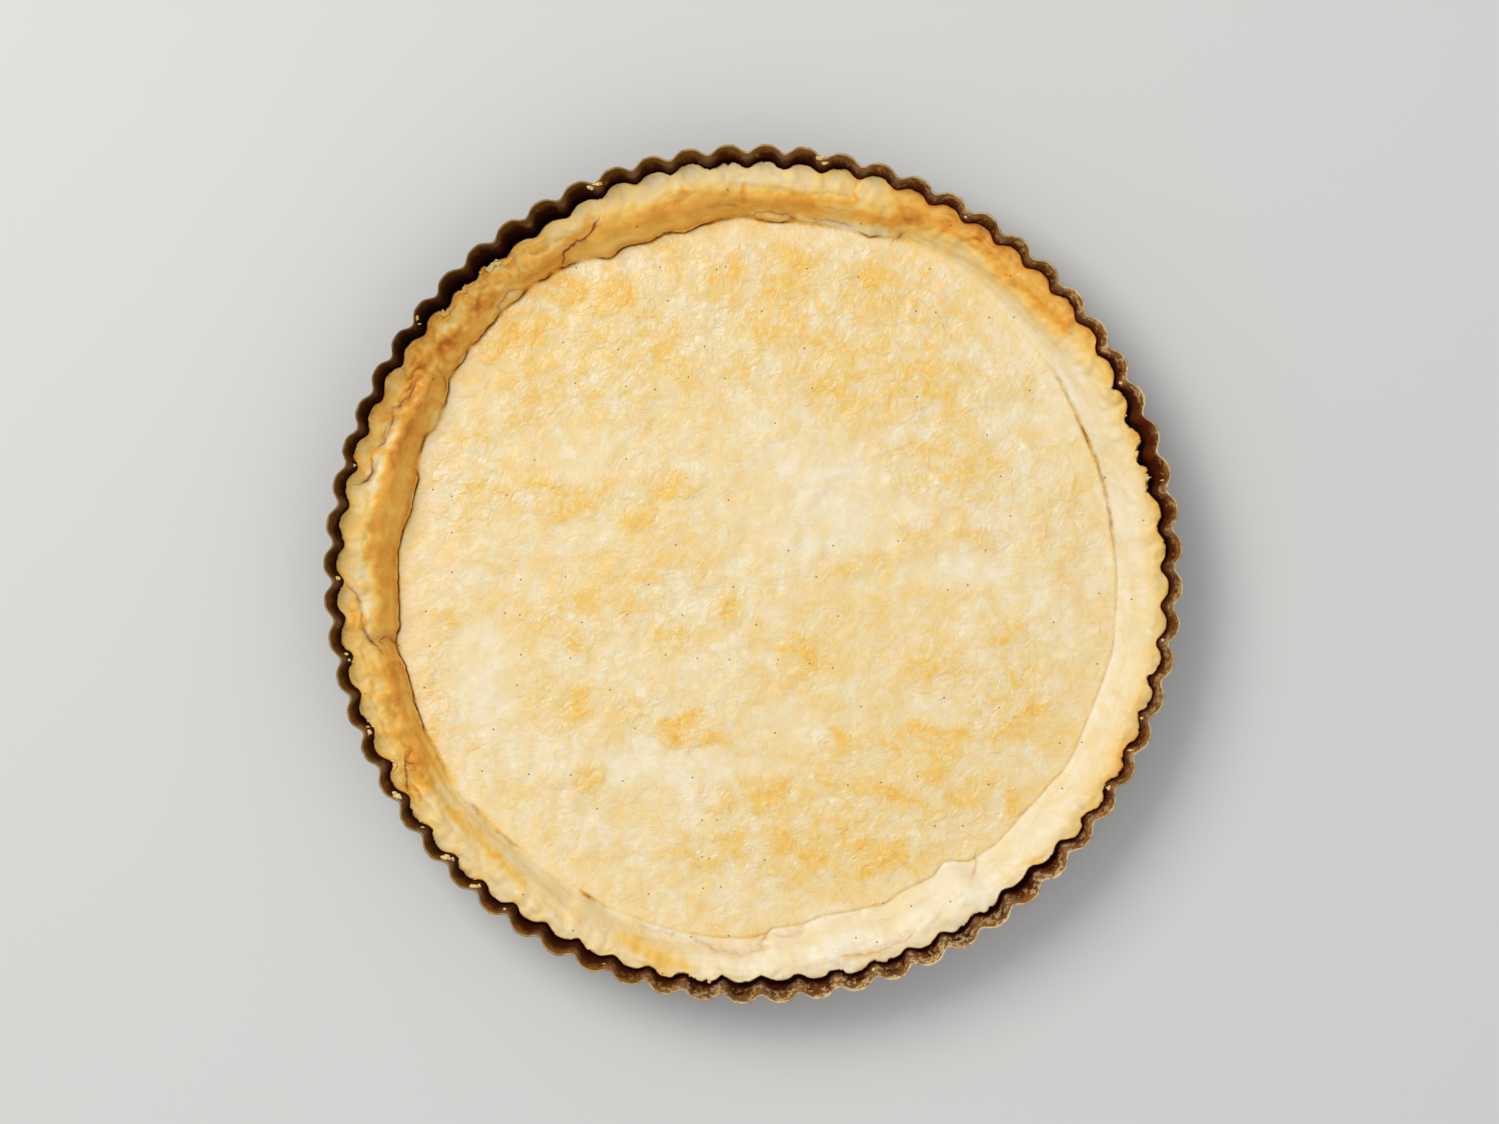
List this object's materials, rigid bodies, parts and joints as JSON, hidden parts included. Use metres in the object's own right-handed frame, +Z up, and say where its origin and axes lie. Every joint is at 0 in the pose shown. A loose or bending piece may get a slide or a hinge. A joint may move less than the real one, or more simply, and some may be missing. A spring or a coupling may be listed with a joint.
{
  "type": "tart pan",
  "caption": "Round fluted tart pan: a flared scalloped steel ring with a loose lift-out base, holding a blind-baked pastry shell with an open filling space.",
  "frame": {"origin": "on the pan's axis, in the plane of the ledge's underside that the pan stands on", "axes": "+Z up along the pan's axis, from the base to the rim; +X through the crest of a flute"},
  "size_m": [0.26, 0.26, 0.025],
  "materials": {
    "ring_steel": "tinned steel browned by years of baking, with golden and copper-red patches and worn bright edges",
    "base_steel": "tinned steel dulled and tinted by heat, with faint spun rings and grease stains",
    "pastry": "matt baked shortcrust, pale cream with golden patches and browner edges"
  },
  "bodies": {
    "ring": {"fluted_ring": "ring_steel"},
    "base": {"loose_base": "base_steel"},
    "pastry": {"pastry_shell": "pastry"}
  },
  "joints": [
    {"name": "base_lift", "type": "slide", "parent": "ring", "child": "base", "axis": [0, 0, 1], "range_m": [0, 0.06]},
    {"name": "pastry_lift", "type": "slide", "parent": "base", "child": "pastry", "axis": [0, 0, 1], "range_m": [0, 0.06]}
  ]
}
